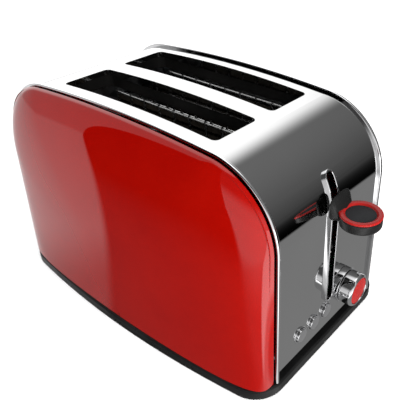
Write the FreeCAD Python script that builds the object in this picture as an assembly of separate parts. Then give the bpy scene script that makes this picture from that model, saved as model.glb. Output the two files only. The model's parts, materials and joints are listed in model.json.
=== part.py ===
import FreeCAD, Part
import math
import os

# Two-slot pop-up toaster. Millimetres. +Z is up, +X points out of the control end,
# -Y is the near side panel. The shapes are drawn about the middle of the base, then
# moved so that the origin is the bottom centre of the overall box, on the table.

V = FreeCAD.Vector

# ---- driving dimensions -------------------------------------------------------------

ORIGIN_X = 13.05           # the knob and the tray lip shift the overall box by this much
FOOT_DROP = 2.0            # feet stand this far below the base
BASE_HALF_LENGTH = 129.0
BASE_HALF_WIDTH = 83.3     # at the middle of the bowed sides
BASE_SAG = 6.7             # bow of the sides
BASE_CORNER = 22.0
FLANGE_TOP = 9.5
STEP_TOP = 15.2
STEP_INSET = 7.0
STEP_WALL = 2.2

BAND_HALF_LENGTH = 126.0
BAND_HALF_WIDTH = 55.9
BAND_TOP = 165.0
BAND_BOTTOM = 15.6
BAND_THICKNESS = 0.8
SHOULDER_RADIUS = 49.0
CROWN_RADIUS = 970.0

BEAD_INNER_Y = 56.0
BEAD_OUTER_Y = 58.7
BEAD_PROUD = 2.3
BEAD_DEPTH = 2.0
BEAD_BOTTOM = 10.2

PANEL_RIM_Y = 58.8
PANEL_OFFSET = 0.5         # rim of the painted panel stands this far off the band
PANEL_BULGE = 23.7
PANEL_WALL = 1.6
PANEL_BOTTOM = 10.0
PANEL_TAPER = 0.2
PANEL_STEP = 7.2           # degrees of crown between two fitted contours
PANEL_STEPS = 12

SLOT_HALF_LENGTH = 72.4
SLOT_NEAR_Y = 7.4          # slot edge towards the middle
SLOT_FAR_Y = 45.4          # slot edge towards the side
SLOT_CORNER = 4.0
SLOT_MID_Y = 0.5 * (SLOT_NEAR_Y + SLOT_FAR_Y)
LIP_DEPTH = 4.0

LEVER_GAP = 3.3            # half width of the lever slot
LEVER_SLOT_BOTTOM = 42.0
LEVER_SLOT_TOP = 137.5
BEZEL_HALF_WIDTH = 4.6
BEZEL_PROUD = 2.2
BEZEL_SLEEVE = 3.9         # half width of the part passing through the band

KNOB_X = 145.0
KNOB_RADIUS = 13.6
KNOB_BOTTOM = 112.0
KNOB_TOP = 120.3
SADDLE_HALF_WIDTH = 11.0
SADDLE_TOP = 128.6

DIAL_Y = 17.5
DIAL_Z = 43.3
DIAL_SLEEVE_RADIUS = 12.8
DIAL_SLEEVE_LENGTH = 5.0
DIAL_KNOB_RADIUS = 12.4
DIAL_TIP_RADIUS = 11.8
DIAL_CAP_RADIUS = 9.8
DIAL_END_X = 141.2

BUTTON_Y = (-1.4, -16.2, -31.0)
BUTTON_Z = 31.2
BUTTON_RADIUS = 5.1
BUTTON_BEZEL_PROUD = 0.4
BUTTON_FACE_X = 128.4

RACK_TOP = 92.0
ROD_X = 96.0
ROD_Y = 24.0
ROD_RADIUS = 2.0
ROD_BORE = 2.08
FRAME_X = 79.0             # inner face of the end frames
FRAME_THICKNESS = 1.0
FRAME_TOP = 149.0
FLOOR_TOP = 4.6            # inside floor of the base pan
CORD_Y = 36.0
CORD_Z = 27.0
GUARD_CLOSE = 5.0          # inward travel of a bread guard when the carriage is down


# ---- small helpers ------------------------------------------------------------------

def box(x0, x1, y0, y1, z0, z1):
    return Part.makeBox(x1 - x0, y1 - y0, z1 - z0, V(x0, y0, z0))


def cyl_x(x0, x1, y, z, radius):
    return Part.makeCylinder(radius, x1 - x0, V(x0, y, z), V(1, 0, 0))


def cyl_y(x, y0, y1, z, radius):
    return Part.makeCylinder(radius, y1 - y0, V(x, y0, z), V(0, 1, 0))


def cyl_z(x, y, z0, z1, radius):
    return Part.makeCylinder(radius, z1 - z0, V(x, y, z0), V(0, 0, 1))


def fuse(shapes):
    result = shapes[0]
    for shape in shapes[1:]:
        result = result.fuse(shape)
    return result.removeSplitter()


def save(name, solids):
    shape = solids[0] if len(solids) == 1 else Part.makeCompound(solids)
    shape.translate(V(-ORIGIN_X, 0, 0))
    shape.exportStep("parts/%s.step" % name)


def mirror_y(shape):
    return shape.mirror(V(0, 0, 0), V(0, 1, 0))


def rounded_box_z(x0, x1, y0, y1, z0, z1, radius):
    """Box with its four upright edges rounded."""
    solid = box(x0, x1, y0, y1, z0, z1)
    upright = [e for e in solid.Edges if abs(e.tangentAt(e.FirstParameter).z) > 0.99]
    return solid.makeFillet(radius, upright)


def stadium_x(x0, x1, y_half, z0, z1):
    """Upright slot shape with round ends, run along X."""
    middle = box(x0, x1, -y_half, y_half, z0 + y_half, z1 - y_half)
    low = cyl_x(x0, x1, 0, z0 + y_half, y_half)
    high = cyl_x(x0, x1, 0, z1 - y_half, y_half)
    return fuse([middle, low, high])


# ---- the arch that the band, beads and panels share -----------------------------------

def arch_centres():
    corner_x = BAND_HALF_LENGTH - SHOULDER_RADIUS
    crown_z = BAND_TOP - CROWN_RADIUS
    reach = CROWN_RADIUS - SHOULDER_RADIUS
    corner_z = crown_z + math.sqrt(reach ** 2 - corner_x ** 2)
    return corner_x, corner_z, crown_z


def arch_face(offset, y, z_bottom):
    """Side profile of the toaster, grown outwards by an offset."""
    corner_x, corner_z, crown_z = arch_centres()
    radius = SHOULDER_RADIUS + offset
    crown = CROWN_RADIUS + offset
    side_x = BAND_HALF_LENGTH + offset
    slope = math.atan2(corner_z - crown_z, corner_x)
    top = V(0, y, crown_z + crown)

    def on_crown(sign):
        return V(sign * crown * math.cos(slope), y, crown_z + crown * math.sin(slope))

    def on_shoulder(sign):
        angle = 0.5 * slope
        return V(sign * (corner_x + radius * math.cos(angle)), y, corner_z + radius * math.sin(angle))

    edges = [
        Part.makeLine(V(-side_x, y, z_bottom), V(side_x, y, z_bottom)),
        Part.makeLine(V(side_x, y, z_bottom), V(side_x, y, corner_z)),
        Part.Arc(V(side_x, y, corner_z), on_shoulder(1), on_crown(1)).toShape(),
        Part.Arc(on_crown(1), top, on_crown(-1)).toShape(),
        Part.Arc(on_crown(-1), on_shoulder(-1), V(-side_x, y, corner_z)).toShape(),
        Part.makeLine(V(-side_x, y, corner_z), V(-side_x, y, z_bottom)),
    ]
    return Part.Face(Part.Wire(edges))


def arch_block(offset, y0, y1, z_bottom):
    return arch_face(offset, y0, z_bottom).extrude(V(0, y1 - y0, 0))


def arch_points(offset, z_bottom, spacing):
    """Points along the arch from the right foot over the top to the left foot."""
    corner_x, corner_z, crown_z = arch_centres()
    radius = SHOULDER_RADIUS + offset
    crown = CROWN_RADIUS + offset
    slope = math.atan2(corner_z - crown_z, corner_x)
    points = []
    count = int(round((corner_z - z_bottom) / spacing))
    for i in range(count):
        points.append((BAND_HALF_LENGTH + offset, z_bottom + (corner_z - z_bottom) * i / count))
    count = int(round(radius * slope / spacing))
    for i in range(count):
        angle = slope * i / count
        points.append((corner_x + radius * math.cos(angle), corner_z + radius * math.sin(angle)))
    count = int(round(crown * (0.5 * math.pi - slope) / spacing))
    for i in range(count):
        angle = slope + (0.5 * math.pi - slope) * i / count
        points.append((crown * math.cos(angle), crown_z + crown * math.sin(angle)))
    left = [(-x, z) for x, z in reversed(points)]
    return points + [(0.0, crown_z + crown)] + left


# ---- bowed outline of the base ----------------------------------------------------------

def base_face(inset, z):
    """Plan outline with bowed sides and round corners, shrunk by an inset."""
    corner = BASE_CORNER - inset
    end_x = BASE_HALF_LENGTH - inset
    mid_y = BASE_HALF_WIDTH - inset
    centre_x = BASE_HALF_LENGTH - BASE_CORNER
    bow = (centre_x ** 2 + BASE_SAG ** 2) / (2 * BASE_SAG)
    bow_centre = bow - BASE_HALF_WIDTH
    centre_y = math.sqrt((bow - BASE_CORNER) ** 2 - centre_x ** 2) - bow_centre
    lean = math.atan2(centre_y + bow_centre, centre_x)

    def corner_point(sx, sy, angle):
        return V(sx * (centre_x + corner * math.cos(angle)), sy * (centre_y + corner * math.sin(angle)), z)

    def corner_arc(sx, sy):
        points = [corner_point(sx, sy, share * lean) for share in (0, 0.5, 1)]
        return Part.Arc(*points).toShape()

    def side_arc(sy):
        return Part.Arc(corner_point(-1, sy, lean), V(0, sy * mid_y, z), corner_point(1, sy, lean)).toShape()

    edges = [
        Part.makeLine(V(end_x, -centre_y, z), V(end_x, centre_y, z)),
        corner_arc(1, 1),
        side_arc(1),
        corner_arc(-1, 1),
        Part.makeLine(V(-end_x, centre_y, z), V(-end_x, -centre_y, z)),
        corner_arc(-1, -1),
        side_arc(-1),
        corner_arc(1, -1),
    ]
    return Part.Face(Part.Wire(Part.__sortEdges__(edges)))


def base_block(inset, z0, z1):
    return base_face(inset, z0).extrude(V(0, 0, z1 - z0))


# ---- outer shell --------------------------------------------------------------------------

FOOT_SPOTS = [(sx * 98.0, sy * 56.0) for sx in (-1, 1) for sy in (-1, 1)]
SCREW_SPOTS = [(sx * 80.0, sy * 66.4) for sx in (-1, 1) for sy in (-1, 1)]


def make_base():
    flange = base_block(0, FOOT_DROP, FLANGE_TOP)
    rim = [e for e in flange.Edges if e.BoundBox.ZMin > FLANGE_TOP - 0.01]
    flange = flange.makeFillet(1.6, rim)
    step = base_block(STEP_INSET, FLANGE_TOP - 1.0, STEP_TOP)
    pan = fuse([flange, step])
    pan = pan.cut(base_block(STEP_INSET + STEP_WALL, FLOOR_TOP, STEP_TOP + 1))
    # pocket for the crumb tray, open through the rear wall
    pan = pan.cut(box(-131, -100, -61.5, 61.5, FLOOR_TOP, 11.6))
    for x, y in FOOT_SPOTS:
        pan = pan.cut(cyl_z(x, y, FOOT_DROP - 1, FOOT_DROP + 1.2, 8.0))
    for x, y in SCREW_SPOTS:
        pan = pan.cut(cyl_z(x, y, FOOT_DROP - 1, FLOOR_TOP + 1, 1.6))
        pan = pan.cut(cyl_z(x, y, FOOT_DROP - 1, FOOT_DROP + 1.5, 3.3))
    return pan


def make_feet():
    feet = []
    for x, y in FOOT_SPOTS:
        foot = cyl_z(x, y, 0, FOOT_DROP + 1.2, 8.0)
        lower = [e for e in foot.Edges if e.BoundBox.ZMax < 0.01]
        feet.append(foot.makeFillet(1.0, lower))
    return feet


def slot_block(inset, z0, z1, side):
    """Bread slot outline grown by a negative inset, as an upright block."""
    y0 = SLOT_NEAR_Y + inset
    y1 = SLOT_FAR_Y - inset
    block = rounded_box_z(
        -SLOT_HALF_LENGTH + inset, SLOT_HALF_LENGTH - inset, y0, y1, z0, z1, SLOT_CORNER - inset)
    return block if side > 0 else mirror_y(block)


def make_band():
    outer = arch_block(0, -BAND_HALF_WIDTH, BAND_HALF_WIDTH, BAND_BOTTOM)
    sheet = outer.cut(arch_block(-BAND_THICKNESS, -60, 60, BAND_BOTTOM - 5))
    for side in (-1, 1):
        collar = slot_block(-BAND_THICKNESS, BAND_TOP - 2.6 - LIP_DEPTH, BAND_TOP + 5, side)
        sheet = sheet.fuse(collar.common(outer))
    for side in (-1, 1):
        sheet = sheet.cut(slot_block(0, 100, 200, side))
    slot_low = LEVER_SLOT_BOTTOM - 0.7
    slot_high = LEVER_SLOT_TOP + 0.7
    sheet = sheet.cut(stadium_x(80, 140, BEZEL_SLEEVE + 0.1, slot_low, slot_high))
    sheet = sheet.cut(cyl_x(100, 140, DIAL_Y, DIAL_Z, 7.0))
    for y in BUTTON_Y:
        sheet = sheet.cut(cyl_x(100, 140, y, BUTTON_Z, BUTTON_RADIUS + 0.5))
    sheet = sheet.cut(cyl_x(-140, -100, CORD_Y, CORD_Z, 4.0))
    return sheet.removeSplitter()


def make_bead(side):
    outer = arch_block(BEAD_PROUD, BEAD_INNER_Y, BEAD_OUTER_Y, BEAD_BOTTOM)
    long_edges = [
        e for e in outer.Edges
        if e.BoundBox.YLength < 0.01 and e.BoundBox.ZMax > BEAD_BOTTOM + 1]
    outer = outer.makeFillet(1.1, long_edges)
    bead = outer.cut(arch_block(-BEAD_DEPTH, 50, 60, BEAD_BOTTOM - 5))
    return bead if side > 0 else mirror_y(bead)


def dome(offset, bulge, rim_y, z_bottom):
    """Crowned body that rises from the arch outline at rim_y to rim_y + bulge."""
    rim = arch_points(offset, z_bottom, 8.0)
    height = BAND_TOP + offset - z_bottom
    grid = []
    for x, z in rim:
        up = (z - z_bottom) / height
        column = []
        for step in range(PANEL_STEPS + 1):
            rise = math.cos(math.radians(PANEL_STEP * step))
            level = math.sqrt(1 - rise ** (1 / 0.3))
            length = (1 - level ** 4) ** 0.53 * (1 - PANEL_TAPER * level * up)
            column.append(V(x * length, rim_y + bulge * level, z_bottom + (z - z_bottom) * rise))
        grid.append(column)
    surface = Part.BSplineSurface()
    surface.interpolate(grid)
    skin = surface.toShape()

    rim_right, rim_left = grid[0][0], grid[-1][0]
    top_right, top_left = grid[0][-1], grid[-1][-1]
    front = [e for e in skin.Edges if e.BoundBox.YLength < 0.01 and e.BoundBox.YMax > rim_y + 1]
    back = [e for e in skin.Edges if e.BoundBox.YLength < 0.01 and e.BoundBox.YMax < rim_y + 1]
    feet = [e for e in skin.Edges if e.BoundBox.YLength > 1]
    cap_line = Part.makeLine(top_left, top_right)
    back_line = Part.makeLine(rim_left, rim_right)
    cap = Part.Face(Part.Wire(Part.__sortEdges__(front + [cap_line])))
    rear = Part.Face(Part.Wire(Part.__sortEdges__(back + [back_line])))
    floor = Part.Face(Part.Wire(Part.__sortEdges__(feet + [cap_line, back_line])))
    shell = Part.Shell([skin, cap, rear, floor])
    shell.sewShape()
    solid = Part.Solid(shell)
    if solid.Volume < 0:
        solid.reverse()
    return solid


def make_side_panel(side):
    outer = dome(PANEL_OFFSET, PANEL_BULGE, PANEL_RIM_Y, PANEL_BOTTOM)
    inner = dome(
        PANEL_OFFSET - PANEL_WALL, PANEL_BULGE - PANEL_WALL + 1, PANEL_RIM_Y - 1, PANEL_BOTTOM - 1)
    panel = outer.cut(inner)
    return panel if side > 0 else mirror_y(panel)


# ---- lever, knob and carriage -----------------------------------------------------------------

def make_lever_bezel():
    lip = arch_block(BEZEL_PROUD, -BEZEL_HALF_WIDTH, BEZEL_HALF_WIDTH, 10)
    lip = lip.cut(arch_block(0, -10, 10, 5))
    lip = lip.common(stadium_x(80, 140, BEZEL_HALF_WIDTH, LEVER_SLOT_BOTTOM - 2.2, LEVER_SLOT_TOP + 2.2))
    sleeve = arch_block(0, -BEZEL_SLEEVE, BEZEL_SLEEVE, 10)
    sleeve = sleeve.cut(arch_block(-1.6, -10, 10, 5))
    sleeve = sleeve.common(stadium_x(80, 140, BEZEL_SLEEVE, LEVER_SLOT_BOTTOM - 0.6, LEVER_SLOT_TOP + 0.6))
    ring = fuse([lip, sleeve])
    return ring.cut(stadium_x(80, 140, LEVER_GAP, LEVER_SLOT_BOTTOM, LEVER_SLOT_TOP))


def make_lever_arm():
    """Blade through the slot, saddle outside it and the neck that carries the knob."""
    blade = box(101.0, 130.0, -1.5, 1.5, 97.0, 119.0)
    saddle = box(128.8, 132.2, -SADDLE_HALF_WIDTH, SADDLE_HALF_WIDTH, KNOB_BOTTOM - 0.6, SADDLE_TOP)
    across = [e for e in saddle.Edges if abs(e.tangentAt(e.FirstParameter).x) > 0.99]
    saddle = saddle.makeFillet(6.0, across)
    neck = box(130.0, KNOB_X - 4, -5.0, 5.0, KNOB_BOTTOM + 0.6, 118.6)
    return fuse([blade, saddle, neck]).cut(cyl_z(KNOB_X, 0, 100, 130, KNOB_RADIUS))


def make_knob_disc():
    disc = cyl_z(KNOB_X, 0, KNOB_BOTTOM, KNOB_TOP - 1.2, KNOB_RADIUS)
    lower = [e for e in disc.Edges if e.BoundBox.ZMax < KNOB_BOTTOM + 0.01]
    disc = disc.makeFillet(1.5, lower)
    return disc.cut(cyl_z(KNOB_X, 0, KNOB_TOP - 3.0, KNOB_TOP, 9.4))


def make_knob_ring():
    ring = cyl_z(KNOB_X, 0, KNOB_TOP - 1.2, KNOB_TOP, KNOB_RADIUS)
    upper = [e for e in ring.Edges if e.BoundBox.ZMin > KNOB_TOP - 0.01]
    ring = ring.makeFillet(0.7, upper)
    return ring.cut(cyl_z(KNOB_X, 0, KNOB_TOP - 5, KNOB_TOP + 5, 9.4))


def make_knob_insert():
    insert = cyl_z(KNOB_X, 0, KNOB_TOP - 3.0, KNOB_TOP - 0.3, 9.4)
    upper = [e for e in insert.Edges if e.BoundBox.ZMin > KNOB_TOP - 0.31]
    return insert.makeFillet(0.6, upper)


def make_carriage():
    """Sliding plate with two bored bosses and an arm towards each bread rack."""
    plate = box(93.0, 101.0, -30.0, 30.0, 98.0, 108.0)
    web = box(99.0, 101.0, -8.0, 8.0, 90.6, 119.0)
    parts = [plate, web]
    for sy in (-1, 1):
        parts.append(cyl_z(ROD_X, sy * ROD_Y, 96.0, 114.0, 4.2))
        arm_y = sy * SLOT_MID_Y
        parts.append(box(70.0, 94.0, arm_y - 1.2, arm_y + 1.2, 86.0, 108.0))
    body = fuse(parts)
    for sy in (-1, 1):
        body = body.cut(cyl_z(ROD_X, sy * ROD_Y, 80.0, 130.0, ROD_BORE))
    return body


def make_rack(side):
    """Bread rest: a folded strip with cross fingers, carried by its carriage arm."""
    y = side * SLOT_MID_Y
    rail = box(-68.0, 70.0, y - 1.2, y + 1.2, 86.0, RACK_TOP - 1.0)
    pieces = [rail]
    for i in range(8):
        x = -63.0 + i * 18.0
        finger = box(x - 2.0, x + 2.0, y - 8.0, y + 8.0, RACK_TOP - 2.0, RACK_TOP)
        pieces.append(finger)
    pieces.append(box(-68.0, 68.0, y - 2.5, y + 2.5, RACK_TOP - 1.2, RACK_TOP))
    return fuse(pieces)


def make_armature():
    return box(90.0, 106.0, -10.0, 10.0, 87.6, 90.6)


def make_guide_rods():
    return [cyl_z(ROD_X, sy * ROD_Y, 17.0, 148.0, ROD_RADIUS) for sy in (-1, 1)]


def make_rod_bracket():
    """Folded plate that ties the tops of the guide rods to the end frame."""
    plate = box(FRAME_X + FRAME_THICKNESS, 103.0, -32.0, 32.0, 148.0, 149.2)
    tab = box(FRAME_X + FRAME_THICKNESS, FRAME_X + 2 * FRAME_THICKNESS, -32.0, 32.0, 143.0, 148.2)
    return fuse([plate, tab])


def make_rod_foot():
    """Plate on the pan floor that carries the rods and the magnet."""
    plate = box(FRAME_X + FRAME_THICKNESS, 108.0, -34.0, 34.0, 15.6, 17.0)
    legs = [box(84.0, 104.0, sy * 32.0 - 1.0, sy * 32.0 + 1.0, FLOOR_TOP, 16.0) for sy in (-1, 1)]
    return fuse([plate] + legs)


def helix_spring(x, y, z0, z1, coil_radius, wire_radius, turns):
    pitch = (z1 - z0 - 2 * wire_radius) / turns
    path = Part.Wire(Part.makeHelix(pitch, pitch * turns, coil_radius))
    ring = Part.Wire(Part.makeCircle(wire_radius, V(coil_radius, 0, 0), V(0, 1, 0)))
    coil = path.makePipeShell([ring], True, True)
    coil.translate(V(x, y, z0 + wire_radius))
    return coil


SPRING_X = 96.0
SPRING_Y = 12.0
SPRING_LOW = 108.4
SPRING_HIGH = 147.6


def make_lift_springs():
    return [
        helix_spring(SPRING_X, sy * SPRING_Y, SPRING_LOW, SPRING_HIGH, 3.0, 0.45, 11)
        for sy in (-1, 1)]


# ---- chassis, heaters and bread guards ----------------------------------------------------------

def frame_plate(x0, x1):
    return box(x0, x1, -52.6, 52.6, 12.5, FRAME_TOP)


def guard_windows(x0, x1):
    """Sideways slots that the ends of the guard rods slide in."""
    windows = []
    for sy in (-1, 1):
        for z in GUARD_ROD_Z:
            inner_end = GUARD_INNER_Y + GUARD_CLOSE + 1.5
            outer_end = GUARD_OUTER_Y - GUARD_CLOSE - 1.5
            inner = box(x0, x1, GUARD_INNER_Y - 3.0, inner_end, z - 1.5, z + 1.5)
            outer = box(x0, x1, outer_end, GUARD_OUTER_Y + 3.0, z - 1.5, z + 1.5)
            windows += [inner, outer] if sy > 0 else [mirror_y(inner), mirror_y(outer)]
    return Part.makeCompound(windows)


def make_end_frame_control():
    plate = frame_plate(FRAME_X, FRAME_X + FRAME_THICKNESS)
    for sy in (-1, 1):
        y = sy * SLOT_MID_Y
        plate = plate.cut(box(70, 90, y - 2.2, y + 2.2, 30.0, 126.0))
    return plate.cut(guard_windows(70, 90))


def make_end_frame_rear():
    plate = frame_plate(-FRAME_X - FRAME_THICKNESS, -FRAME_X)
    for sy in (-1, 1):
        y = sy * SLOT_MID_Y
        for z in (55.0, 80.0, 105.0):
            plate = plate.cut(box(-90, -70, y - 9.0, y + 9.0, z, z + 6.0))
    return plate.cut(guard_windows(-90, -70))


def make_heat_shield(side):
    sheet = box(-FRAME_X - 1.0, FRAME_X + 1.0, 52.7, 53.4, 15.6, FRAME_TOP - 2.0)
    for i in range(7):
        x = -60.0 + 20.0 * i
        sheet = sheet.cut(box(x - 5.0, x + 5.0, 50, 56, 130.0, 133.0))
        sheet = sheet.cut(box(x - 5.0, x + 5.0, 50, 56, 26.0, 29.0))
    return sheet if side > 0 else mirror_y(sheet)


MICA_HALF = 72.0
MICA_LOW = 34.0
MICA_HIGH = 142.0
MICA_THICKNESS = 0.8
RIBBON_COUNT = 13


def make_mica(y):
    y0 = y - 0.5 * MICA_THICKNESS
    y1 = y + 0.5 * MICA_THICKNESS
    board = box(-MICA_HALF, MICA_HALF, y0, y1, MICA_LOW, MICA_HIGH)
    ears = [
        box(sx * 75.5 - 3.5, sx * 75.5 + 3.5, y0, y1, z, z + 5.0)
        for sx in (-1, 1) for z in (41.5, 129.5)]
    return fuse([board] + ears)


def make_ribbon(y):
    """Flat resistance wire wound across both faces of a mica board."""
    turns = []
    step = (MICA_HIGH - MICA_LOW - 12.0) / (RIBBON_COUNT - 1)
    half = 0.5 * MICA_THICKNESS
    for i in range(RIBBON_COUNT):
        z = MICA_LOW + 6.0 + i * step
        loop = box(-MICA_HALF - 0.3, MICA_HALF + 0.3, y - half - 0.3, y + half + 0.3, z - 0.8, z + 0.8)
        turns.append(loop.cut(box(-MICA_HALF, MICA_HALF, y - half, y + half, z - 2, z + 2)))
    return turns


GUARD_WIRE = 0.9
GUARD_LOW = 40.0
GUARD_HIGH = 150.0
GUARD_OUTER_Y = 42.6
GUARD_INNER_Y = 10.2
GUARD_ROD_Z = (46.0, 136.0)


def make_guard(y):
    """Grid of upright wires with two cross rods that centres the bread."""
    wires = []
    for i in range(9):
        x = -60.0 + 15.0 * i
        wires.append(cyl_z(x, y, GUARD_LOW, GUARD_HIGH, GUARD_WIRE))
    for z in GUARD_ROD_Z:
        wires.append(cyl_x(-82.0, 82.0, y, z, GUARD_WIRE))
    wires.append(cyl_x(-61.0, 61.0, y, GUARD_HIGH - 1.5, GUARD_WIRE))
    return fuse(wires)


def make_slot_liner(side):
    """Funnel of thin sheet under a bread slot, standing on a flange across the end frames."""
    top = BAND_TOP - 2.6 - LIP_DEPTH - 0.4
    flange = box(-FRAME_X - 1.0, FRAME_X + 1.0, 3.5, 52.6, FRAME_TOP, FRAME_TOP + 0.8)
    if side < 0:
        flange = mirror_y(flange)
    funnel = fuse([slot_block(-2.6, FRAME_TOP, top, side), flange])
    return funnel.cut(slot_block(-2.1, FRAME_TOP - 1, top + 1, side))


# ---- controls ----------------------------------------------------------------------------------------

BOARD_X = 114.0


def make_control_board():
    board = box(BOARD_X, BOARD_X + 1.6, -44.0, 38.0, 19.0, 56.0)
    board = board.cut(box(BOARD_X - 5, BOARD_X + 5, -3.2, 3.2, 42.0, 60.0))
    board = board.cut(cyl_x(BOARD_X - 5, BOARD_X + 5, DIAL_Y, DIAL_Z, 3.6))
    return board


def make_board_brackets():
    """Two posts that hold the board off the pan floor."""
    return [box(BOARD_X + 1.6, BOARD_X + 5.0, y - 4.0, y + 4.0, FLOOR_TOP, 24.0) for y in (-40.0, 34.0)]


def make_board_components():
    relay = box(BOARD_X - 6.0, BOARD_X, -40.0, -26.0, 38.0, 54.0)
    chip = box(BOARD_X - 2.0, BOARD_X, -22.0, -12.0, 42.0, 50.0)
    drop = cyl_x(BOARD_X - 5.5, BOARD_X, 32.0, 28.0, 3.6)
    tank = cyl_x(BOARD_X - 5.5, BOARD_X, -36.0, 28.0, 4.0)
    return [relay, chip, drop, tank]


def make_tact_switches():
    switches = []
    for y in BUTTON_Y:
        body = box(BOARD_X + 1.6, BOARD_X + 5.2, y - 3.0, y + 3.0, BUTTON_Z - 3.0, BUTTON_Z + 3.0)
        stem = cyl_x(BOARD_X + 5.2, BOARD_X + 6.4, y, BUTTON_Z, 1.6)
        switches.append(fuse([body, stem]))
    return switches


def make_button(y):
    cap = cyl_x(123.2, BUTTON_FACE_X, y, BUTTON_Z, BUTTON_RADIUS)
    face = [e for e in cap.Edges if e.BoundBox.XMin > BUTTON_FACE_X - 0.01]
    cap = cap.makeFillet(1.4, face)
    collar = cyl_x(123.2, 124.6, y, BUTTON_Z, BUTTON_RADIUS + 1.0)
    stem = cyl_x(122.6, 124.0, y, BUTTON_Z, 1.8)
    return fuse([cap, collar, stem])


def make_button_bezels():
    rings = []
    for y in BUTTON_Y:
        front = BAND_HALF_LENGTH + BUTTON_BEZEL_PROUD
        ring = cyl_x(BAND_HALF_LENGTH, front, y, BUTTON_Z, BUTTON_RADIUS + 1.2)
        face = [e for e in ring.Edges if e.BoundBox.XMin > front - 0.01]
        ring = ring.makeFillet(0.3, face)
        rings.append(ring.cut(cyl_x(120, 130, y, BUTTON_Z, BUTTON_RADIUS + 0.35)))
    return rings


def make_dial_sleeve():
    front = BAND_HALF_LENGTH + DIAL_SLEEVE_LENGTH
    sleeve = cyl_x(BAND_HALF_LENGTH, front, DIAL_Y, DIAL_Z, DIAL_SLEEVE_RADIUS)
    return sleeve.cut(cyl_x(120, 140, DIAL_Y, DIAL_Z, 6.0))


DIAL_KNOB_X = BAND_HALF_LENGTH + DIAL_SLEEVE_LENGTH + 0.4


def make_dial_knob():
    length = DIAL_END_X - DIAL_KNOB_X
    body = Part.makeCone(
        DIAL_KNOB_RADIUS, DIAL_TIP_RADIUS, length, V(DIAL_KNOB_X, DIAL_Y, DIAL_Z), V(1, 0, 0))
    tip = [e for e in body.Edges if e.BoundBox.XMin > DIAL_END_X - 0.01]
    body = body.makeFillet(0.8, tip)
    body = body.cut(cyl_x(DIAL_END_X - 1.4, DIAL_END_X + 1, DIAL_Y, DIAL_Z, DIAL_CAP_RADIUS))
    body = body.cut(cyl_x(DIAL_KNOB_X - 1, DIAL_KNOB_X + 6.0, DIAL_Y, DIAL_Z, 3.0))
    # groove for the index mark on the flank
    return body.cut(make_dial_index())


def make_dial_index():
    """Inlaid mark along the flank of the knob, facing up and towards the lever."""
    length = DIAL_END_X - DIAL_KNOB_X
    outer = Part.makeCone(
        DIAL_KNOB_RADIUS, DIAL_TIP_RADIUS, length, V(DIAL_KNOB_X, DIAL_Y, DIAL_Z), V(1, 0, 0))
    inner = Part.makeCone(
        DIAL_KNOB_RADIUS - 0.6, DIAL_TIP_RADIUS - 0.6, length, V(DIAL_KNOB_X, DIAL_Y, DIAL_Z), V(1, 0, 0))
    bar = box(DIAL_KNOB_X + 1.0, DIAL_END_X - 1.2, DIAL_Y - 1.3, DIAL_Y + 1.3, DIAL_Z + 5.0, DIAL_Z + 14.0)
    bar.rotate(V(0, DIAL_Y, DIAL_Z), V(1, 0, 0), 35.0)
    return outer.cut(inner).common(bar)


def make_dial_cap():
    cap = cyl_x(DIAL_END_X - 1.4, DIAL_END_X + 0.2, DIAL_Y, DIAL_Z, DIAL_CAP_RADIUS)
    rim = [e for e in cap.Edges if e.BoundBox.XMin > DIAL_END_X + 0.19]
    return cap.makeFillet(0.6, rim)


def make_dial_shaft():
    return cyl_x(BOARD_X + 2.0, DIAL_KNOB_X + 6.0, DIAL_Y, DIAL_Z, 3.0)


def make_potentiometer():
    body = cyl_x(BOARD_X - 7.0, BOARD_X, DIAL_Y, DIAL_Z, 8.0)
    neck = cyl_x(BOARD_X, BOARD_X + 1.6, DIAL_Y, DIAL_Z, 3.5)
    return fuse([body, neck])


def make_magnet_core():
    core = box(92.0, 104.0, -12.0, 12.0, 17.0, 37.0)
    window = box(90, 106, -8.0, -3.5, 21.0, 38.0)
    return core.cut(window).cut(mirror_y(window))


def make_magnet_coil():
    coil = rounded_box_z(89.0, 107.0, -6.8, 6.8, 22.0, 34.0, 2.0)
    return coil.cut(box(92.0, 104.0, -3.5, 3.5, 15, 40))


def make_contact_block():
    """Switch block beside the magnet that the carriage closes when it is down."""
    block = box(85.0, 91.0, 14.0, 22.0, 17.0, 40.0)
    mirror = mirror_y(block)
    return [block, mirror]


# ---- crumb tray, grommet and fixings -------------------------------------------------------------------

TRAY_FLOOR = FLOOR_TOP + 0.5


def make_crumb_tray():
    outer = box(-125.6, 76.0, -60.5, 60.5, TRAY_FLOOR, 9.6)
    tray = outer.cut(box(-124.8, 75.2, -59.7, 59.7, TRAY_FLOOR + 0.8, 20))
    return tray


def make_crumb_tray_handle():
    plate = box(-129.0, -125.6, -61.0, 61.0, TRAY_FLOOR, FLANGE_TOP)
    outer = [e for e in plate.Edges if e.BoundBox.XMax < -128.99]
    plate = plate.makeFillet(1.0, outer)
    lip = box(-132.5, -128.0, -18.0, 18.0, 6.6, 8.6)
    corners = [e for e in lip.Edges if abs(e.tangentAt(e.FirstParameter).z) > 0.99]
    lip = lip.makeFillet(1.8, [e for e in corners if e.BoundBox.XMax < -132])
    return fuse([plate, lip])


def make_tray_rails():
    """Low strips on the pan floor that guide the crumb tray."""
    return [
        box(-112.0, 78.0, sy * 61.6 - 0.6, sy * 61.6 + 0.6, FLOOR_TOP, 9.0)
        for sy in (-1, 1)]


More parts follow.
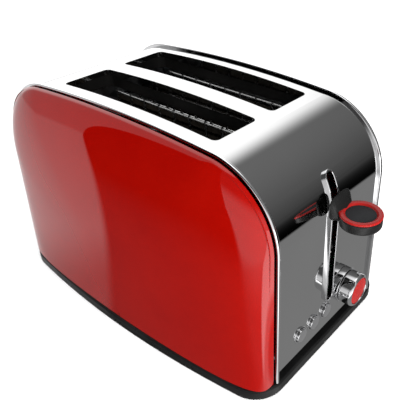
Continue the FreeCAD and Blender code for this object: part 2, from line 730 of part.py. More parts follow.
def make_cord_grommet():
    ring = cyl_x(-BAND_HALF_LENGTH - 2.0, -BAND_HALF_LENGTH + 3.0, CORD_Y, CORD_Z, 4.0)
    flange = cyl_x(-BAND_HALF_LENGTH - 2.0, -BAND_HALF_LENGTH, CORD_Y, CORD_Z, 6.0)
    lip = [e for e in flange.Edges if e.BoundBox.XMax < -BAND_HALF_LENGTH - 1.99]
    body = fuse([ring, flange.makeFillet(0.8, lip)])
    return body.cut(cyl_x(-140, -110, CORD_Y, CORD_Z, 2.6))


def make_base_screws():
    screws = []
    for x, y in SCREW_SPOTS:
        head = cyl_z(x, y, FOOT_DROP + 0.1, FOOT_DROP + 1.5, 3.2)
        shank = cyl_z(x, y, FOOT_DROP + 1.5, FLOOR_TOP + 7.0, 1.55)
        cross = box(x - 2.0, x + 2.0, y - 0.4, y + 0.4, FOOT_DROP, FOOT_DROP + 0.8)
        across = box(x - 0.4, x + 0.4, y - 2.0, y + 2.0, FOOT_DROP, FOOT_DROP + 0.8)
        screws.append(fuse([head, shank]).cut(cross).cut(across))
    return screws


def make_frame_bosses():
    """Moulded posts that receive the base screws."""
    bosses = []
    for x, y in SCREW_SPOTS:
        post = cyl_z(x, y, FLOOR_TOP, 14.5, 3.5)
        bosses.append(post.cut(cyl_z(x, y, 0, 13.0, 1.6)))
    return bosses


# ---- assembly --------------------------------------------------------------------------------------------

def main():
    os.makedirs("parts", exist_ok=True)
    save("base_pan", [make_base()])
    save("feet", make_feet())
    save("steel_band", [make_band()])
    for side, word in ((-1, "near"), (1, "far")):
        save("trim_bead_" + word, [make_bead(side)])
        save("side_panel_" + word, [make_side_panel(side)])
        save("heat_shield_" + word, [make_heat_shield(side)])
        save("bread_rack_" + word, [make_rack(side)])
        save("slot_liner_" + word, [make_slot_liner(side)])
        save("bread_guard_%s_outer" % word, [make_guard(side * GUARD_OUTER_Y)])
        save("bread_guard_%s_inner" % word, [make_guard(side * GUARD_INNER_Y)])
    for word, y in (("near", -49.0), ("middle", 0.0), ("far", 49.0)):
        save("mica_board_" + word, [make_mica(y)])
        save("heater_ribbon_" + word, make_ribbon(y))
    save("lever_slot_bezel", [make_lever_bezel()])
    save("lever_arm", [make_lever_arm()])
    save("lever_knob_disc", [make_knob_disc()])
    save("lever_knob_ring", [make_knob_ring()])
    save("lever_knob_insert", [make_knob_insert()])
    save("carriage", [make_carriage()])
    save("armature_plate", [make_armature()])
    save("guide_rods", make_guide_rods())
    save("rod_top_bracket", [make_rod_bracket()])
    save("rod_foot_plate", [make_rod_foot()])
    save("lift_springs", make_lift_springs())
    save("end_frame_control", [make_end_frame_control()])
    save("end_frame_rear", [make_end_frame_rear()])
    save("control_board", [make_control_board()])
    save("board_posts", make_board_brackets())
    save("board_components", make_board_components())
    save("tact_switches", make_tact_switches())
    for y, word in zip(BUTTON_Y, ("one", "two", "three")):
        save("button_" + word, [make_button(y)])
    save("button_bezels", make_button_bezels())
    save("dial_sleeve", [make_dial_sleeve()])
    save("dial_knob", [make_dial_knob()])
    save("dial_index_mark", [make_dial_index()])
    save("dial_end_cap", [make_dial_cap()])
    save("dial_shaft", [make_dial_shaft()])
    save("potentiometer", [make_potentiometer()])
    save("magnet_core", [make_magnet_core()])
    save("magnet_coil", [make_magnet_coil()])
    save("contact_blocks", make_contact_block())
    save("crumb_tray", [make_crumb_tray()])
    save("crumb_tray_handle", [make_crumb_tray_handle()])
    save("tray_rails", make_tray_rails())
    save("cord_grommet", [make_cord_grommet()])
    save("base_screws", make_base_screws())
    save("screw_posts", make_frame_bosses())


main()
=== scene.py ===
import json
import math

import bmesh
import bpy
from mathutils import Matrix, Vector


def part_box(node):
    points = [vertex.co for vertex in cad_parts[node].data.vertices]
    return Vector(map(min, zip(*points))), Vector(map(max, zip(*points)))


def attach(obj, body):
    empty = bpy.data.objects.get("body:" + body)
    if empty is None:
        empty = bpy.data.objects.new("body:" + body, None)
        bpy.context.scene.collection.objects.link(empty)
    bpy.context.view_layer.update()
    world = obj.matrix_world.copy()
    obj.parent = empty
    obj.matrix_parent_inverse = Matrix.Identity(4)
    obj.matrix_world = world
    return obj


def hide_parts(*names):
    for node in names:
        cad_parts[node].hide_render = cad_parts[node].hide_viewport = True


# Two-slot pop-up toaster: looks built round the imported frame. Metres, +Z up,
# +X out of the control end, -Y towards the near side panel.

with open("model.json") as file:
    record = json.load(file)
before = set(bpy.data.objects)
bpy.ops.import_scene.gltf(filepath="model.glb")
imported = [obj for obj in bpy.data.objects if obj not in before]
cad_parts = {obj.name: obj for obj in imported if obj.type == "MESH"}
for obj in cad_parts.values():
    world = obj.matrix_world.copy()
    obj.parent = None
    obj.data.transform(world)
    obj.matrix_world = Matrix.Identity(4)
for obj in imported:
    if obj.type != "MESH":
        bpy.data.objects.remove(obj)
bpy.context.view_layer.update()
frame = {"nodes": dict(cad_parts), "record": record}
NODES = frame["nodes"]
RECORD = frame["record"]
SLOT_OF = {entry["node"]: entry["material_slot"] for entry in RECORD["subparts"]}
BODY_OF = {node: body for body, nodes in RECORD["behaviour"]["bodies"].items() for node in nodes}

MM = 0.001


# ---- procedural materials -----------------------------------------------------------------

class Surface:
    """A Principled material with a few texture nodes wired up by short calls."""

    def __init__(self, name, **sockets):
        self.material = bpy.data.materials.new(name)
        self.material.use_nodes = True
        self.tree = self.material.node_tree
        self.shader = self.tree.nodes["Principled BSDF"]
        self.place = self.tree.nodes.new("ShaderNodeTexCoord").outputs["Object"]
        for socket, value in sockets.items():
            self.shader.inputs[socket.replace("_", " ")].default_value = value

    def link(self, output, target):
        self.tree.links.new(output, target)

    def stretched(self, scale):
        """Object coordinates scaled by a different amount along each axis."""
        mapping = self.tree.nodes.new("ShaderNodeMapping")
        mapping.inputs["Scale"].default_value = scale
        self.link(self.place, mapping.inputs["Vector"])
        return mapping.outputs["Vector"]

    def noise(self, scale, detail=3.0, place=None):
        node = self.tree.nodes.new("ShaderNodeTexNoise")
        node.inputs["Scale"].default_value = scale
        node.inputs["Detail"].default_value = detail
        self.link(place or self.place, node.inputs["Vector"])
        return node.outputs["Fac"]

    def cells(self, scale, output="Color"):
        node = self.tree.nodes.new("ShaderNodeTexVoronoi")
        node.inputs["Scale"].default_value = scale
        self.link(self.place, node.inputs["Vector"])
        return node.outputs[output]

    def wave(self, scale, direction="Z", distortion=0.0):
        node = self.tree.nodes.new("ShaderNodeTexWave")
        node.bands_direction = direction
        node.inputs["Scale"].default_value = scale
        node.inputs["Distortion"].default_value = distortion
        self.link(self.place, node.inputs["Vector"])
        return node.outputs["Fac"]

    def spread(self, factor, low, high):
        """Maps the middle of a texture's range onto low to high."""
        node = self.tree.nodes.new("ShaderNodeMapRange")
        node.inputs["From Min"].default_value = 0.3
        node.inputs["From Max"].default_value = 0.7
        node.inputs["To Min"].default_value = low
        node.inputs["To Max"].default_value = high
        self.link(factor, node.inputs["Value"])
        return node.outputs["Result"]

    def roughness(self, factor, low, high):
        self.link(self.spread(factor, low, high), self.shader.inputs["Roughness"])
        return self

    def colour(self, factor, dark, light):
        node = self.tree.nodes.new("ShaderNodeValToRGB")
        node.color_ramp.elements[0].position = 0.3
        node.color_ramp.elements[1].position = 0.7
        node.color_ramp.elements[0].color = (*dark, 1)
        node.color_ramp.elements[1].color = (*light, 1)
        self.link(factor, node.inputs["Fac"])
        self.link(node.outputs["Color"], self.shader.inputs["Base Color"])
        return self

    def bump(self, factor, height):
        node = self.tree.nodes.new("ShaderNodeBump")
        node.inputs["Distance"].default_value = height
        self.link(factor, node.inputs["Height"])
        self.link(node.outputs["Normal"], self.shader.inputs["Normal"])
        return self


def red_enamel():
    skin = Surface(
        "red_enamel", Roughness=0.5, Specular_IOR_Level=0.0, Coat_Weight=1.0, Coat_Roughness=0.02)
    skin.colour(skin.noise(30.0), (0.170, 0.0012, 0.0004), (0.185, 0.0018, 0.0006))
    return skin.bump(skin.noise(1800.0), 0.000004)


def polished_steel():
    skin = Surface("polished_steel", Metallic=1.0)
    skin.colour(skin.noise(9.0), (0.58, 0.58, 0.58), (0.63, 0.63, 0.63))
    return skin.roughness(skin.noise(60.0, 5.0, skin.stretched((1.0, 12.0, 1.0))), 0.03, 0.07)


def bright_chrome():
    skin = Surface("bright_chrome", Metallic=1.0)
    skin.colour(skin.noise(60.0), (0.74, 0.74, 0.75), (0.80, 0.80, 0.81))
    return skin.roughness(skin.noise(300.0), 0.04, 0.09)


def moulded(name, dark, light, rough, shine=0.3, grain=1500.0, height=0.00002):
    """Moulded plastic with a fine grain."""
    skin = Surface(name, Specular_IOR_Level=shine)
    skin.colour(skin.noise(40.0), dark, light)
    skin.roughness(skin.noise(90.0), rough - 0.05, rough + 0.08)
    return skin.bump(skin.noise(grain), height)


def red_plastic():
    skin = Surface("red_plastic", Specular_IOR_Level=0.25)
    skin.colour(skin.noise(80.0), (0.19, 0.004, 0.003), (0.23, 0.006, 0.005))
    return skin.roughness(skin.noise(90.0), 0.22, 0.28)


def rubber():
    skin = Surface("rubber_black")
    skin.colour(skin.noise(120.0), (0.018, 0.018, 0.018), (0.035, 0.034, 0.033))
    skin.roughness(skin.noise(700.0), 0.75, 0.9)
    return skin.bump(skin.noise(2500.0), 0.00003)


def galvanised_sheet():
    skin = Surface("galvanised_sheet", Metallic=1.0)
    skin.colour(skin.cells(180.0), (0.36, 0.37, 0.39), (0.55, 0.56, 0.58))
    return skin.roughness(skin.cells(180.0), 0.32, 0.5)


def heat_tint_and_slot_shade_sheet():
    skin = Surface("inner_sheet", Metallic=0.7)
    # Sheet colour is painted nearly black: partly heat tint, mostly painted shade standing in for the
    # shadow inside the slots.
    skin.colour(skin.noise(25.0, 5.0), (0.006, 0.006, 0.006), (0.018, 0.017, 0.016))
    return skin.roughness(skin.noise(140.0), 0.35, 0.55)


def drawn_wire(name, dark, light):
    skin = Surface(name, Metallic=1.0)
    skin.colour(skin.noise(200.0), dark, light)
    return skin.roughness(skin.noise(900.0), 0.18, 0.32)


def mica_sheet():
    skin = Surface("mica_sheet")
    # Mica's brown tone darkened almost to black: painted shade standing in for the shadow deep inside
    # the bread slots.
    skin.colour(skin.noise(120.0, 8.0), (0.014, 0.011, 0.008), (0.035, 0.028, 0.020))
    skin.roughness(skin.noise(200.0), 0.4, 0.65)
    return skin.bump(skin.cells(600.0, "Distance"), 0.00004)


def board_green():
    skin = Surface("board_green", Coat_Weight=0.5, Coat_Roughness=0.2)
    skin.colour(skin.wave(160.0, "Y", 3.0), (0.012, 0.08, 0.03), (0.03, 0.15, 0.06))
    return skin.roughness(skin.noise(300.0), 0.35, 0.5)


def coil_winding():
    skin = Surface("coil_brown", Coat_Weight=0.6, Coat_Roughness=0.15)
    skin.colour(skin.wave(520.0), (0.20, 0.06, 0.015), (0.50, 0.20, 0.06))
    skin.roughness(skin.noise(400.0), 0.3, 0.4)
    return skin.bump(skin.wave(520.0), 0.0002)


SKINS = {
    "red_enamel": red_enamel(),
    "polished_steel": polished_steel(),
    "bright_chrome": bright_chrome(),
    "black_plastic": moulded("black_plastic", (0.004, 0.004, 0.004), (0.008, 0.008, 0.008), 0.3, 0.2),
    "red_plastic": red_plastic(),
    "dark_insert": moulded(
        "dark_insert", (0.012, 0.0125, 0.0135), (0.018, 0.0185, 0.02), 0.6, 0.1, 3000.0, 0.00004),
    "rubber_black": rubber(),
    "galvanised_sheet": galvanised_sheet(),
    "inner_sheet": heat_tint_and_slot_shade_sheet(),
    "plain_steel": drawn_wire("plain_steel", (0.50, 0.50, 0.50), (0.68, 0.68, 0.67)),
    "spring_steel": drawn_wire("spring_steel", (0.22, 0.22, 0.23), (0.38, 0.38, 0.39)),
    "mica_sheet": mica_sheet(),
    "resistance_wire": drawn_wire("resistance_wire", (0.05, 0.045, 0.04), (0.10, 0.09, 0.08)),
    "board_green": board_green(),
    "component_black": moulded(
        "component_black", (0.010, 0.010, 0.011), (0.022, 0.022, 0.024), 0.42),
    "coil_brown": coil_winding(),
}


def dress_frame():
    """Gives every CAD node the material of its record slot."""
    for name, node in NODES.items():
        node.data.materials.clear()
        node.data.materials.append(SKINS[SLOT_OF[name]].material)


# ---- pieces made finer than the frame's ------------------------------------------------------

ARCH_SHOULDER = 49.0 * MM      # the arch that the panels and the lever bezel follow
ARCH_CROWN = 970.0 * MM
PANEL_TAPER = 0.2
PANEL_RIM = 0.8 * MM           # rounding of the painted rim
PANEL_FOLD = 3.0 * MM          # depth of the fold behind the rim
PANEL_LIP = 0.7 * MM           # how far the rim stands out before the panel crowns
PANEL_CLOSE = 0.985            # the rings stop just short of the middle of the foot
FAR_INSET = 0.8 * MM           # keeps the far panel's edge behind its bead
FAR_TUCK = 0.09
LEVER_GAP = 3.3 * MM


def add_piece(name, points, faces, *nodes):
    """A smooth mesh that stands for CAD nodes and takes the first one's skin and body."""
    mesh = bpy.data.meshes.new(name)
    mesh.from_pydata(points, [], faces)
    shape = bmesh.new()
    shape.from_mesh(mesh)
    bmesh.ops.remove_doubles(shape, verts=shape.verts, dist=1e-6)
    bmesh.ops.recalc_face_normals(shape, faces=shape.faces)
    shape.to_mesh(mesh)
    shape.free()
    mesh.shade_smooth()
    mesh.set_sharp_from_angle(angle=math.radians(38))
    mesh.materials.append(SKINS[SLOT_OF[nodes[0]]].material)
    piece = bpy.data.objects.new(name, mesh)
    bpy.context.scene.collection.objects.link(piece)
    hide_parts(*nodes)
    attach(piece, BODY_OF[nodes[0]])
    return piece


def grid_faces(rows, columns, wrap_rows=False, wrap_columns=False):
    """Quads between neighbouring points of a grid stored row by row."""
    faces = []
    for row in range(rows if wrap_rows else rows - 1):
        for column in range(columns if wrap_columns else columns - 1):
            below = (row + 1) % rows
            beside = (column + 1) % columns
            faces.append((
                row * columns + column, row * columns + beside,
                below * columns + beside, below * columns + column))
    return faces


def rounded(corners, radius, steps=5):
    """A polyline whose inner corners are swept round."""
    line = [corners[0]]
    for before, corner, after in zip(corners, corners[1:], corners[2:]):
        here = Vector(corner)
        back = Vector(before) - here
        ahead = Vector(after) - here
        start = here + back.normalized() * min(radius, 0.45 * back.length)
        end = here + ahead.normalized() * min(radius, 0.45 * ahead.length)
        for step in range(steps + 1):
            share = step / steps
            bend = start.lerp(here, share).lerp(here.lerp(end, share), share)
            line.append(tuple(bend))
    return line + [corners[-1]]


def revolve(name, centre, axis, profile, *nodes, steps=96):
    """Turns a profile of (distance along the axis, radius) about an axis, X or Z."""
    points = []
    for reach, radius in profile:
        for step in range(steps):
            angle = 2 * math.pi * step / steps
            across = radius * math.cos(angle)
            over = radius * math.sin(angle)
            spoke = (reach, across, over) if axis == "X" else (across, over, reach)
            points.append(tuple(Vector(centre) + Vector(spoke)))
    return add_piece(name, points, grid_faces(len(profile), steps, wrap_columns=True), *nodes)


def arch_corner(half_length, top):
    """Centre of the +X shoulder, and the height of the crown's centre."""
    corner_x = half_length - ARCH_SHOULDER
    crown_z = top - ARCH_CROWN
    corner_z = crown_z + math.sqrt((ARCH_CROWN - ARCH_SHOULDER) ** 2 - corner_x ** 2)
    return corner_x, corner_z, crown_z


def arch_at(share, half_length, top, bottom):
    """Point of the arch: share 0 is the foot of the +X end, 1 the middle of the crown."""
    corner_x, corner_z, crown_z = arch_corner(half_length, top)
    slope = math.atan2(corner_z - crown_z, corner_x)
    upright = corner_z - bottom
    turn = ARCH_SHOULDER * slope
    distance = share * (upright + turn + ARCH_CROWN * (0.5 * math.pi - slope))
    if distance < upright:
        return half_length, bottom + distance
    if distance < upright + turn:
        angle = (distance - upright) / ARCH_SHOULDER
        return corner_x + ARCH_SHOULDER * math.cos(angle), corner_z + ARCH_SHOULDER * math.sin(angle)
    angle = slope + (distance - upright - turn) / ARCH_CROWN
    return ARCH_CROWN * math.cos(angle), crown_z + ARCH_CROWN * math.sin(angle)


def side_panel(side, node, inset=0.0, tuck=0.0, spans=150, rings=64):
    """Crowned painted panel with a rounded rim and a short fold behind it.

    The inset draws its whole outline in, the tuck its lower ends as they crown.
    """
    low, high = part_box(node)
    middle = 0.5 * (low.x + high.x)
    half = 0.5 * (high.x - low.x) - inset
    top = high.z - inset
    bottom = low.z + 1.0 * MM
    rim = min(abs(low.y), abs(high.y)) + 1.0 * MM
    bulge = max(abs(low.y), abs(high.y)) - rim
    height = top - bottom
    points = []
    for span in range(-spans, spans + 1):
        sign = 1 if span >= 0 else -1
        x, z = arch_at(1 - abs(span) / spans, half, top, bottom)
        x *= sign
        up = (z - bottom) / height
        inward = Vector((middle, 0, bottom + 0.5 * height)) - Vector((middle + x, 0, z))
        inward = inward.normalized() * PANEL_RIM
        column = [
            (middle + x + 1.6 * inward.x, side * (rim + PANEL_FOLD), z + 1.6 * inward.z),
            (middle + x + 1.6 * inward.x, side * (rim + 0.2 * MM), z + 1.6 * inward.z),
            (middle + x + 1.1 * inward.x, side * rim, z + 1.1 * inward.z),
            (middle + x + 0.4 * inward.x, side * (rim + 0.15 * MM), z + 0.4 * inward.z),
            (middle + x, side * (rim + PANEL_LIP), z)]
        for ring in range(1, rings + 1):
            rise = math.cos(0.5 * math.pi * PANEL_CLOSE * (ring / rings) ** 1.2)
            level = math.sqrt(1 - rise ** (1 / 0.3))
            taper = PANEL_TAPER * up + tuck * (1 - up)
            length = (1 - level ** 4) ** 0.53 * (1 - taper * level)
            depth = rim + PANEL_LIP + (bulge - PANEL_LIP) * level
            column.append((middle + x * length, side * depth, bottom + (z - bottom) * rise))
        points += column
    faces = grid_faces(2 * spans + 1, rings + 5)
    return add_piece(node + "_skin", points, faces, node)


def lever_bezel(node, turns=20, uprights=60):
    """Thin rolled rim that follows the arch round the lever slot."""
    low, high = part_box(node)
    band_low, band_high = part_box("steel_band")
    middle = 0.5 * (band_low.x + band_high.x)
    half = 0.5 * (band_high.x - band_low.x)
    corner_x, corner_z, _ = arch_corner(half, band_high.z)
    wide = 0.5 * (high.y - low.y)
    wall = wide - LEVER_GAP
    bottom = low.z + wide
    top = high.z - wide

    path = []
    for step in range(turns + 1):
        angle = math.pi * step / turns
        path.append((0.0, top, math.cos(angle), math.sin(angle)))
    for step in range(1, uprights):
        path.append((0.0, top + (bottom - top) * step / uprights, -1.0, 0.0))
    for step in range(turns + 1):
        angle = math.pi * (1 + step / turns)
        path.append((0.0, bottom, math.cos(angle), math.sin(angle)))
    for step in range(1, uprights):
        path.append((0.0, bottom + (top - bottom) * step / uprights, 1.0, 0.0))

    proud = high.x - (middle + half)
    section = rounded(
        [(wide, -0.3 * MM), (wide, proud), (wide - wall, proud), (wide - wall, -1.6 * MM)], 0.55 * wall)
    points = []
    for y, z, out_y, out_z in path:
        for across, over in section:
            height = z + out_z * across
            lean = math.asin(min(max((height - corner_z) / ARCH_SHOULDER, 0.0), 1.0))
            skin_x = middle + corner_x + ARCH_SHOULDER * math.cos(lean)
            points.append((
                skin_x + over * math.cos(lean), y + out_y * across, height + over * math.sin(lean)))
    faces = grid_faces(len(path), len(section), wrap_rows=True)
    return add_piece(node + "_rim", points, faces, node)


def lever_arm(node, steps=48):
    """Blade, wide saddle and neck, drawn as rounded sections along X."""
    low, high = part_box(node)
    knob_low, knob_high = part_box("lever_knob_disc")
    band_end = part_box("steel_band")[1].x
    base = knob_low.z
    top = knob_high.z
    saddle = 0.5 * (high.y - low.y)
    sections = [
        (low.x, 1.5 * MM, low.z, top - 0.5 * MM),
        (band_end + 2.7 * MM, 1.5 * MM, base - 1.0 * MM, top - 0.5 * MM),
        (band_end + 2.8 * MM, 0.90 * saddle, base + 0.9 * MM, high.z - 1.4 * MM),
        (band_end + 3.2 * MM, 0.97 * saddle, base, high.z - 0.4 * MM),
        (band_end + 4.0 * MM, saddle, base - 0.4 * MM, high.z),
        (band_end + 5.4 * MM, 0.96 * saddle, base - 0.4 * MM, high.z - 1.5 * MM),
        (band_end + 7.2 * MM, 0.80 * saddle, base, high.z - 5.0 * MM),
        (band_end + 9.5 * MM, 0.66 * saddle, base + 0.6 * MM, top - 0.2 * MM),
        (high.x, 0.6 * saddle, base + 1.0 * MM, top - 0.6 * MM)]
    points = []
    for x, half, bottom, crest in sections:
        for step in range(steps):
            angle = 2 * math.pi * step / steps
            across = math.copysign(abs(math.cos(angle)) ** 0.6, math.cos(angle))
            over = math.copysign(abs(math.sin(angle)) ** 0.6, math.sin(angle))
            points.append((x, half * across, 0.5 * (bottom + crest) + 0.5 * (crest - bottom) * over))
    faces = grid_faces(len(sections), steps, wrap_columns=True)
    faces.append(tuple(range(steps)))
    faces.append(tuple(range(len(points) - steps, len(points))))
    return add_piece(node + "_shape", points, faces, node)


def middle_of(node):
    """Centre and size of a node's CAD box."""
    low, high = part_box(node)
    return 0.5 * (low + high), high - low


def lever_knob():
    """Disc with a rounded foot, a bevelled red ring and the sunk insert."""
    centre, size = middle_of("lever_knob_disc")
    radius = 0.5 * size.x
    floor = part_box("lever_knob_disc")[0].z
    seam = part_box("lever_knob_ring")[0].z
    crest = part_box("lever_knob_ring")[1].z
    sunk = 0.5 * middle_of("lever_knob_insert")[1].x
    foot = (centre.x, centre.y, 0)
    body = [(floor, 0), (floor, 0.98 * radius), (seam, 0.985 * radius), (seam, 0)]
    revolve("lever_knob_disc_body", foot, "Z", rounded(body, 1.8 * MM, 7), "lever_knob_disc")
    ring = [
        (seam - 0.3 * MM, sunk), (seam - 0.3 * MM, radius), (crest, radius - 0.3 * MM),
        (crest, sunk + 1.1 * MM), (crest - 1.2 * MM, sunk)]
    revolve("lever_knob_ring_rim", foot, "Z", rounded(ring, 0.7 * MM), "lever_knob_ring")
    pad = [(seam - 1.0 * MM, sunk), (crest - 1.1 * MM, sunk), (crest - 0.75 * MM, 0)]
    revolve("lever_knob_insert_pad", foot, "Z", rounded(pad, 0.8 * MM), "lever_knob_insert")


def dial():
    """Sleeve with rolled ends, knob with a lip round the sunk red cap."""
    centre, size = middle_of("dial_sleeve")
    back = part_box("dial_sleeve")[0].x
    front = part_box("dial_sleeve")[1].x
    radius = 0.5 * size.y
    axle = (0, centre.y, centre.z)
    sleeve = [(back, 0.5 * radius), (back, radius), (front, radius), (front, 0.5 * radius)]
    revolve("dial_sleeve_turned", axle, "X", rounded(sleeve, 0.5 * MM), "dial_sleeve")
    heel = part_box("dial_knob")[0].x
    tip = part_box("dial_knob")[1].x
    grip = 0.5 * middle_of("dial_knob")[1].y - 0.12 * MM
    cap = 0.5 * middle_of("dial_end_cap")[1].y
    knob = [
        (heel, 0.3 * grip), (heel, grip), (tip - 1.4 * MM, grip - 0.3 * MM), (tip, grip - 1.6 * MM),
        (tip, cap + 0.3 * MM), (tip - 1.0 * MM, cap)]
    revolve("dial_knob_turned", axle, "X", rounded(knob, 0.8 * MM), "dial_knob")
    face = [(tip - 1.3 * MM, cap), (tip - 0.5 * MM, cap - 0.2 * MM), (tip - 0.1 * MM, 0)]
    revolve("dial_end_cap_domed", axle, "X", rounded(face, 0.8 * MM), "dial_end_cap")


def push_button(node):
    """Cap with a soft edge and a very slightly crowned face."""
    low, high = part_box(node)
    centre = 0.5 * (low + high)
    collar = 0.5 * (high.y - low.y)
    radius = collar - 1.0 * MM
    shape = [
        (low.x, 0), (low.x, collar), (low.x + 2.0 * MM, collar), (low.x + 2.0 * MM, radius),
        (high.x - 0.3 * MM, radius), (high.x, 0)]
    revolve(node + "_cap", (0, centre.y, centre.z), "X", rounded(shape, 0.7 * MM), node)


def refine_pieces():
    side_panel(-1, "side_panel_near")
    side_panel(1, "side_panel_far", inset=FAR_INSET, tuck=FAR_TUCK)
    lever_bezel("lever_slot_bezel")
    lever_arm("lever_arm")
    lever_knob()
    dial()
    for node in ("button_one", "button_two", "button_three"):
        push_button(node)


# ---- stage, light and camera ----------------------------------------------------------------

def add_floor():
    mesh = bpy.data.meshes.new("floor")
    reach = 4.0
    corners = [(-reach, -reach, 0), (reach, -reach, 0), (reach, reach, 0), (-reach, reach, 0)]
    mesh.from_pydata(corners, [], [(0, 1, 2, 3)])
    floor = bpy.data.objects.new("floor", mesh)
    bpy.context.scene.collection.objects.link(floor)
    paper = Surface("floor_paper", Roughness=0.8, Specular_IOR_Level=0.0)
    paper.colour(paper.noise(3.0), (0.90, 0.90, 0.90), (0.92, 0.92, 0.92))
    mesh.materials.append(paper.material)


def glow_material(name):
    """An emission-only material for cards that show up in reflections."""
    made = bpy.data.materials.new(name)
    made.use_nodes = True
    tree = made.node_tree
    tree.nodes.clear()
    output = tree.nodes.new("ShaderNodeOutputMaterial")
    emission = tree.nodes.new("ShaderNodeEmission")
    tree.links.new(emission.outputs["Emission"], output.inputs["Surface"])
    place = tree.nodes.new("ShaderNodeTexCoord").outputs["Object"]
    return made, tree, emission.inputs["Strength"], place


def maths(tree, operation, *values):
    """One Math node fed by sockets or plain numbers."""
    node = tree.nodes.new("ShaderNodeMath")
    node.operation = operation
    for slot, value in zip(node.inputs, values):
        if isinstance(value, (int, float)):
            slot.default_value = value
        else:
            tree.links.new(value, slot)
    return node.outputs[0]


def ramp_between(tree, value, start, end, low=0.0, high=1.0):
    """Smooth step from low to high as value goes from start to end."""
    node = tree.nodes.new("ShaderNodeMapRange")
    node.interpolation_type = "SMOOTHSTEP"
    node.inputs["From Min"].default_value = start
    node.inputs["From Max"].default_value = end
    node.inputs["To Min"].default_value = low
    node.inputs["To Max"].default_value = high
    tree.links.new(value, node.inputs["Value"])
    return node.outputs["Result"]


def along(tree, place, direction, flatten=False):
    """Distance of a point along a direction, or its cosine in plan when flattened."""
    source = place
    if flatten:
        level = tree.nodes.new("ShaderNodeVectorMath")
        level.operation = "MULTIPLY"
        level.inputs[1].default_value = (1, 1, 0)
        tree.links.new(place, level.inputs[0])
        unit = tree.nodes.new("ShaderNodeVectorMath")
        unit.operation = "NORMALIZE"
        tree.links.new(level.outputs["Vector"], unit.inputs[0])
        source = unit.outputs["Vector"]
    dot = tree.nodes.new("ShaderNodeVectorMath")
    dot.operation = "DOT_PRODUCT"
    dot.inputs[1].default_value = direction
    tree.links.new(source, dot.inputs[0])
    return dot.outputs["Value"]


def mix(tree, amount, first, second):
    """first where amount is 0, second where it is 1."""
    rest = maths(tree, "SUBTRACT", 1.0, amount)
    first_part = maths(tree, "MULTIPLY", rest, first)
    second_part = maths(tree, "MULTIPLY", amount, second)
    return maths(tree, "ADD", first_part, second_part)


TENT_RADIUS = 3.0
TENT_WHITE = 1.7
SIDE_WHITE = 0.85
END_GREY = 0.27                      # floor paper that the steel end mirrors
OUTER_WHITE = 3.0                    # bright paper past the control end's corner
BACK_FLAG = (0.574, 0.819, 0.0)      # plan direction of the dark flag behind the control end
LEFT_EDGE = (-0.62, 0.785, 0.0)      # across the left edge of the dark wedge off the near panel
LEFT_REACH = -0.049
RIGHT_EDGE = (0.990, -0.139, 0.0)    # across its right edge
RIGHT_REACH = 0.13


def front_wedge(tree, place):
    """Shares of the white left of the dark wedge and right of it."""
    left = ramp_between(tree, along(tree, place, LEFT_EDGE), LEFT_REACH - 0.004, LEFT_REACH + 0.006)
    right = ramp_between(tree, along(tree, place, RIGHT_EDGE), RIGHT_REACH - 0.015, RIGHT_REACH + 0.02)
    return left, right


def stage_card(name, mesh, made):
    mesh.materials.append(made)
    card = bpy.data.objects.new(name, mesh)
    bpy.context.scene.collection.objects.link(card)
    card.visible_camera = False
    card.visible_diffuse = False
    card.visible_transmission = False
    card.visible_volume_scatter = False
    card.visible_shadow = False


def add_tent():
    """A light tent with dark flags, seen only in glossy reflections."""
    made, tree, strength, place = glow_material("tent_cloth")
    height = maths(tree, "DIVIDE", along(tree, place, (0, 0, 1)), TENT_RADIUS)
    back = ramp_between(tree, along(tree, place, BACK_FLAG, True), 0.36, 0.82)
    back = maths(tree, "MULTIPLY", back, ramp_between(tree, height, 0.80, 0.97, 1.0, 0.0))
    shade = maths(tree, "MULTIPLY_ADD", height, 0.17, 0.075)

    left, right = front_wedge(tree, place)
    left_glow = ramp_between(tree, height, 0.0, 0.05, SIDE_WHITE, 0.55)
    right_glow = ramp_between(tree, height, 0.15, 0.5, 1.0, 0.1)
    front = maths(tree, "MULTIPLY", right, right_glow)
    front = mix(tree, left, front, left_glow)
    near_side = ramp_between(tree, along(tree, place, (0, -1, 0)), -0.3, 0.3)
    near_side = maths(tree, "MULTIPLY", near_side, ramp_between(tree, height, 0.93, 0.99, 1.0, 0.0))
    cloth = mix(tree, near_side, TENT_WHITE, front)
    tree.links.new(mix(tree, back, cloth, shade), strength)

    mesh = bpy.data.meshes.new("tent")
    dome = bmesh.new()
    bmesh.ops.create_icosphere(dome, subdivisions=4, radius=TENT_RADIUS)
    dome.to_mesh(mesh)
    dome.free()
    stage_card("tent", mesh, made)


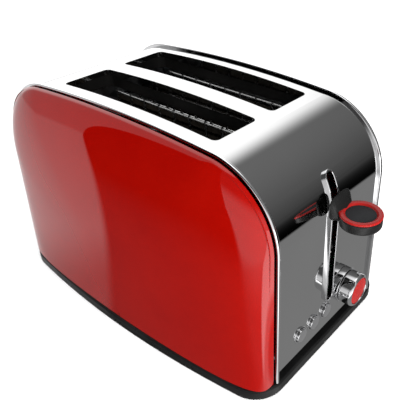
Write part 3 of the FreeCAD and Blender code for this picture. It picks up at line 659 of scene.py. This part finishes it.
def add_floor_cards():
    """Grey and black paper laid round the toaster, seen only in glossy reflections."""
    made, tree, strength, place = glow_material("floor_cards")
    x = along(tree, place, (1, 0, 0))
    y = along(tree, place, (0, 1, 0))
    end_side = ramp_between(tree, x, 0.09, 0.12)
    end_side = maths(tree, "MULTIPLY", end_side, ramp_between(tree, y, -0.060, -0.050))
    beyond = ramp_between(tree, along(tree, place, (0.907, 0.42, 0)), 0.31, 0.35)
    far_grey = ramp_between(tree, along(tree, place, (0.6, 0.8, 0)), 0.25, 1.6, 0.0, 0.065)
    end_paper = mix(tree, beyond, END_GREY, far_grey)

    left, right = front_wedge(tree, place)
    right_paper = ramp_between(tree, along(tree, place, (0.707, -0.707, 0)), 0.20, 0.33, 0.25, 1.1)
    outer = ramp_between(tree, along(tree, place, (0.595, 0.804, 0)), 0.014, 0.026)
    right_paper = mix(tree, outer, right_paper, OUTER_WHITE)
    wedge = ramp_between(tree, y, -0.40, -0.15, 0.0, 0.10)
    front = mix(tree, right, wedge, right_paper)
    left_paper = ramp_between(tree, along(tree, place, (-0.7, -0.5, 0)), 0.09, 0.19, 0.3, SIDE_WHITE)
    front = mix(tree, left, front, left_paper)
    near_side = ramp_between(tree, y, -0.085, -0.065, 1.0, 0.0)
    paper = mix(tree, near_side, 0.95, front)
    tree.links.new(mix(tree, end_side, paper, end_paper), strength)

    mesh = bpy.data.meshes.new("floor_cards")
    reach = 2.9
    lift = 0.4 * MM
    corners = [(-reach, -reach), (reach, -reach), (reach, reach), (-reach, reach)]
    mesh.from_pydata([(px, py, lift) for px, py in corners], [], [(0, 1, 2, 3)])
    stage_card("floor_cards", mesh, made)


def add_key_light():
    """A softbox off the near corner of the control end that warms the paint there."""
    lamp = bpy.data.lights.new("key", "AREA")
    lamp.energy = 56.0
    lamp.size = 0.7
    key = bpy.data.objects.new("key", lamp)
    key.location = (1.55, -0.6, 0.45)
    key.rotation_mode = "QUATERNION"
    key.rotation_quaternion = (Vector((0, 0, 0.08)) - key.location).to_track_quat("-Z", "Y")
    key.visible_glossy = False
    key.visible_camera = False
    bpy.context.scene.collection.objects.link(key)


def add_light():
    world = bpy.data.worlds.new("studio")
    world.use_nodes = True
    world.node_tree.nodes["Background"].inputs["Color"].default_value = (1, 1, 1, 1)
    world.node_tree.nodes["Background"].inputs["Strength"].default_value = 1.25
    bpy.context.scene.world = world
    add_tent()
    add_floor_cards()
    add_key_light()


def add_camera():
    """A 50 mm lens on a 36 mm sensor, seen from the near right, a little above."""
    camera = bpy.data.cameras.new("camera")
    camera.lens = 50.0
    camera.sensor_width = 36.0
    camera.shift_x = -0.172
    camera.shift_y = -0.0081
    camera.clip_start = 0.01
    eye = bpy.data.objects.new("camera", camera)
    eye.location = (0.25724, -0.248238, 0.306071)
    azimuth = math.radians(38.16)
    elevation = math.radians(32.67)
    look = Vector((
        -math.sin(azimuth) * math.cos(elevation),
        math.cos(azimuth) * math.cos(elevation),
        -math.sin(elevation)))
    eye.rotation_mode = "QUATERNION"
    eye.rotation_quaternion = look.to_track_quat("-Z", "Y")
    bpy.context.scene.collection.objects.link(eye)
    bpy.context.scene.camera = eye


dress_frame()
refine_pieces()
add_floor()
add_light()
add_camera()
bpy.context.scene.view_settings.view_transform = "Standard"
